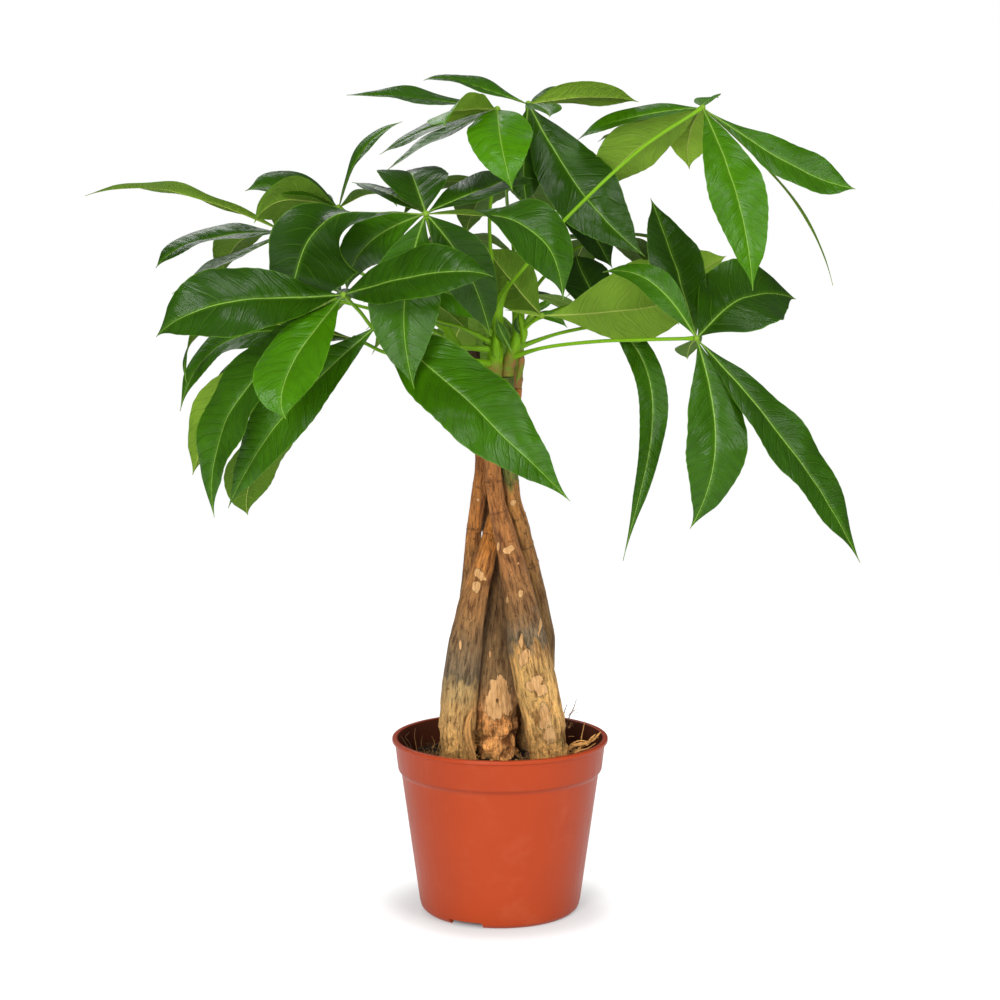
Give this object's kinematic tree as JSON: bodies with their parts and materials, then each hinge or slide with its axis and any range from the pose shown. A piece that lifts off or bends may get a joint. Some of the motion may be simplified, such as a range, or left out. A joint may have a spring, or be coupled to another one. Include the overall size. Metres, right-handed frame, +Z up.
{
  "type": "potted money tree",
  "caption": "Potted money tree: smooth-barked stems lean together and cross above a round plastic pot, and long stalks carry hand-shaped leaves of drooping leaflets.",
  "frame": {"origin": "centre of the pot's underside, on the plane it stands on", "axes": "+Z up along the pot's axis; -Y towards the front, the side with the two big hanging leaflets and a drain notch left of the middle; +X to the right as seen from the front"},
  "size_m": [0.59, 0.441, 0.6609],
  "materials": {
    "pot_plastic": "satin terracotta-coloured moulded plastic",
    "potting_soil": "rough dark peat and bark potting mix",
    "bark": "rough brown bark with pale scars and fine vertical fibres",
    "green_shoot": "smooth satin light green",
    "leaf": "glossy dark green with a paler midrib and a lighter underside"
  },
  "bodies": {
    "root": {"pot": "pot_plastic", "soil": "potting_soil", "trunk_front_left": "bark", "trunk_centre": "bark", "trunk_front_right": "bark", "trunk_back_right": "bark", "trunk_back_left": "bark", "shoot_main": "green_shoot", "shoot_right": "green_shoot", "shoot_back": "green_shoot", "shoot_left": "green_shoot", "leaf_front_left": "leaf", "leaf_front_high": "leaf", "leaf_front_low": "leaf", "leaf_left_low": "leaf", "leaf_left_far": "leaf", "leaf_left_high": "leaf", "leaf_top_front": "leaf", "leaf_top_back": "leaf", "leaf_top_right": "leaf", "leaf_right_low": "leaf", "leaf_right_inner": "leaf", "leaf_young": "leaf", "leaf_right_behind": "leaf", "leaf_inner": "leaf", "leaf_back_left": "leaf", "leaf_back_left_high": "leaf", "leaf_back_high": "leaf", "leaf_back_right_high": "leaf", "leaf_back_right_low": "leaf", "leaf_back_low": "leaf"}
  },
  "joints": []
}
